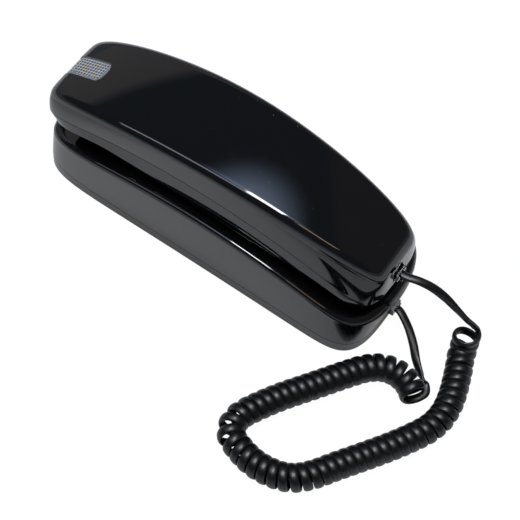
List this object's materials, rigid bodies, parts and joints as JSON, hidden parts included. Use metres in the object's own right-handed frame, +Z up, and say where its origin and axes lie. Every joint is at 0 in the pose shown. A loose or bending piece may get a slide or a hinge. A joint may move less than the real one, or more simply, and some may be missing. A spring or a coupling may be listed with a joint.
{
  "type": "slimline corded telephone",
  "caption": "Slimline corded desk telephone: arched handset with an inner keypad and ring lamp, lying on a long cradle base, with a coiled cord.",
  "frame": {"origin": "centre of the phone's footprint box, without the cord, on the table", "axes": "+X towards the cord end, +Y to the side away from the coiled cord, +Z up from the table"},
  "size_m": [0.2868, 0.1615, 0.0864],
  "materials": {
    "black_gloss": "glossy",
    "black_matte": "fine matte",
    "key_plastic": "satin",
    "black_rubber": "matte",
    "inner_rubber": "matte",
    "cord_black": "satin",
    "steel": "zinc plated",
    "can_metal": "satin",
    "brass": "satin",
    "board": "solder mask",
    "lens_clear": "clear moulded",
    "plug_clear": "clear moulded"
  },
  "bodies": {
    "base": {"base_upper_shell": "black_gloss", "base_bottom_cover": "black_gloss", "rubber_feet": "black_rubber", "handset_hook_tab": "black_matte", "hook_spring": "steel", "hook_switch": "black_matte", "base_circuit_board": "board", "ringer_disc": "brass", "base_jack": "black_matte", "line_jack": "black_matte", "base_weight": "steel", "base_screws": "steel", "plug_base": "plug_clear", "cord_lead_handset": "cord_black", "cord_coil": "cord_black", "cord_lead_base": "cord_black"},
    "handset": {"handset_back_shell": "black_gloss", "handset_front_shell": "black_gloss", "ring_lamp_lens": "lens_clear", "ring_lamp_led": "board", "receiver_capsule": "black_matte", "receiver_gasket": "inner_rubber", "microphone_capsule": "can_metal", "microphone_boot": "inner_rubber", "keypad_mat": "inner_rubber", "handset_circuit_board": "board", "handset_jack": "black_matte", "handset_weight": "steel", "handset_screws": "steel", "plug_handset": "plug_clear"},
    "hook": {"hook_plunger": "black_matte"},
    "ringer_slider": {"ringer_switch": "black_matte"},
    "volume_knob": {"volume_slider": "key_plastic"},
    "key_1_body": {"key_1": "key_plastic"},
    "key_2_body": {"key_2": "key_plastic"},
    "key_3_body": {"key_3": "key_plastic"},
    "key_4_body": {"key_4": "key_plastic"},
    "key_5_body": {"key_5": "key_plastic"},
    "key_6_body": {"key_6": "key_plastic"},
    "key_7_body": {"key_7": "key_plastic"},
    "key_8_body": {"key_8": "key_plastic"},
    "key_9_body": {"key_9": "key_plastic"},
    "key_star_body": {"key_star": "key_plastic"},
    "key_0_body": {"key_0": "key_plastic"},
    "key_hash_body": {"key_hash": "key_plastic"},
    "key_redial_body": {"key_redial": "key_plastic"},
    "key_flash_body": {"key_flash": "key_plastic"}
  },
  "joints": [
    {"name": "handset_lift", "type": "slide", "parent": "base", "child": "handset", "axis": [0, 0, 1], "range_m": [0, 0.08]},
    {"name": "hook_press", "type": "slide", "parent": "base", "child": "hook", "axis": [0, 0, 1], "range_m": [0, 0.004], "deforming": ["hook_spring"]},
    {"name": "ringer_slide", "type": "slide", "parent": "base", "child": "ringer_slider", "axis": [1, 0, 0], "range_m": [-0.003, 0.003]},
    {"name": "volume_slide", "type": "slide", "parent": "handset", "child": "volume_knob", "axis": [0, 1, 0], "range_m": [-0.004, 0.004]},
    {"name": "key_1_press", "type": "slide", "parent": "handset", "child": "key_1_body", "axis": [0.0523, 0, 0.9986], "range_m": [0, 0.0012], "stiffness_N_per_m": 600, "springref_m": -0.0003},
    {"name": "key_2_press", "type": "slide", "parent": "handset", "child": "key_2_body", "axis": [0.0523, 0, 0.9986], "range_m": [0, 0.0012], "stiffness_N_per_m": 600, "springref_m": -0.0003},
    {"name": "key_3_press", "type": "slide", "parent": "handset", "child": "key_3_body", "axis": [0.0523, 0, 0.9986], "range_m": [0, 0.0012], "stiffness_N_per_m": 600, "springref_m": -0.0003},
    {"name": "key_4_press", "type": "slide", "parent": "handset", "child": "key_4_body", "axis": [0.0523, 0, 0.9986], "range_m": [0, 0.0012], "stiffness_N_per_m": 600, "springref_m": -0.0003},
    {"name": "key_5_press", "type": "slide", "parent": "handset", "child": "key_5_body", "axis": [0.0523, 0, 0.9986], "range_m": [0, 0.0012], "stiffness_N_per_m": 600, "springref_m": -0.0003},
    {"name": "key_6_press", "type": "slide", "parent": "handset", "child": "key_6_body", "axis": [0.0523, 0, 0.9986], "range_m": [0, 0.0012], "stiffness_N_per_m": 600, "springref_m": -0.0003},
    {"name": "key_7_press", "type": "slide", "parent": "handset", "child": "key_7_body", "axis": [0.0523, 0, 0.9986], "range_m": [0, 0.0012], "stiffness_N_per_m": 600, "springref_m": -0.0003},
    {"name": "key_8_press", "type": "slide", "parent": "handset", "child": "key_8_body", "axis": [0.0523, 0, 0.9986], "range_m": [0, 0.0012], "stiffness_N_per_m": 600, "springref_m": -0.0003},
    {"name": "key_9_press", "type": "slide", "parent": "handset", "child": "key_9_body", "axis": [0.0523, 0, 0.9986], "range_m": [0, 0.0012], "stiffness_N_per_m": 600, "springref_m": -0.0003},
    {"name": "key_star_press", "type": "slide", "parent": "handset", "child": "key_star_body", "axis": [0.0523, 0, 0.9986], "range_m": [0, 0.0012], "stiffness_N_per_m": 600, "springref_m": -0.0003},
    {"name": "key_0_press", "type": "slide", "parent": "handset", "child": "key_0_body", "axis": [0.0523, 0, 0.9986], "range_m": [0, 0.0012], "stiffness_N_per_m": 600, "springref_m": -0.0003},
    {"name": "key_hash_press", "type": "slide", "parent": "handset", "child": "key_hash_body", "axis": [0.0523, 0, 0.9986], "range_m": [0, 0.0012], "stiffness_N_per_m": 600, "springref_m": -0.0003},
    {"name": "key_redial_press", "type": "slide", "parent": "handset", "child": "key_redial_body", "axis": [0.0523, 0, 0.9986], "range_m": [0, 0.0012], "stiffness_N_per_m": 600, "springref_m": -0.0003},
    {"name": "key_flash_press", "type": "slide", "parent": "handset", "child": "key_flash_body", "axis": [0.0523, 0, 0.9986], "range_m": [0, 0.0012], "stiffness_N_per_m": 600, "springref_m": -0.0003}
  ],
  "couplings": [
    {"joint": "hook_press", "follows": "handset_lift", "ratio": 0.05}
  ]
}
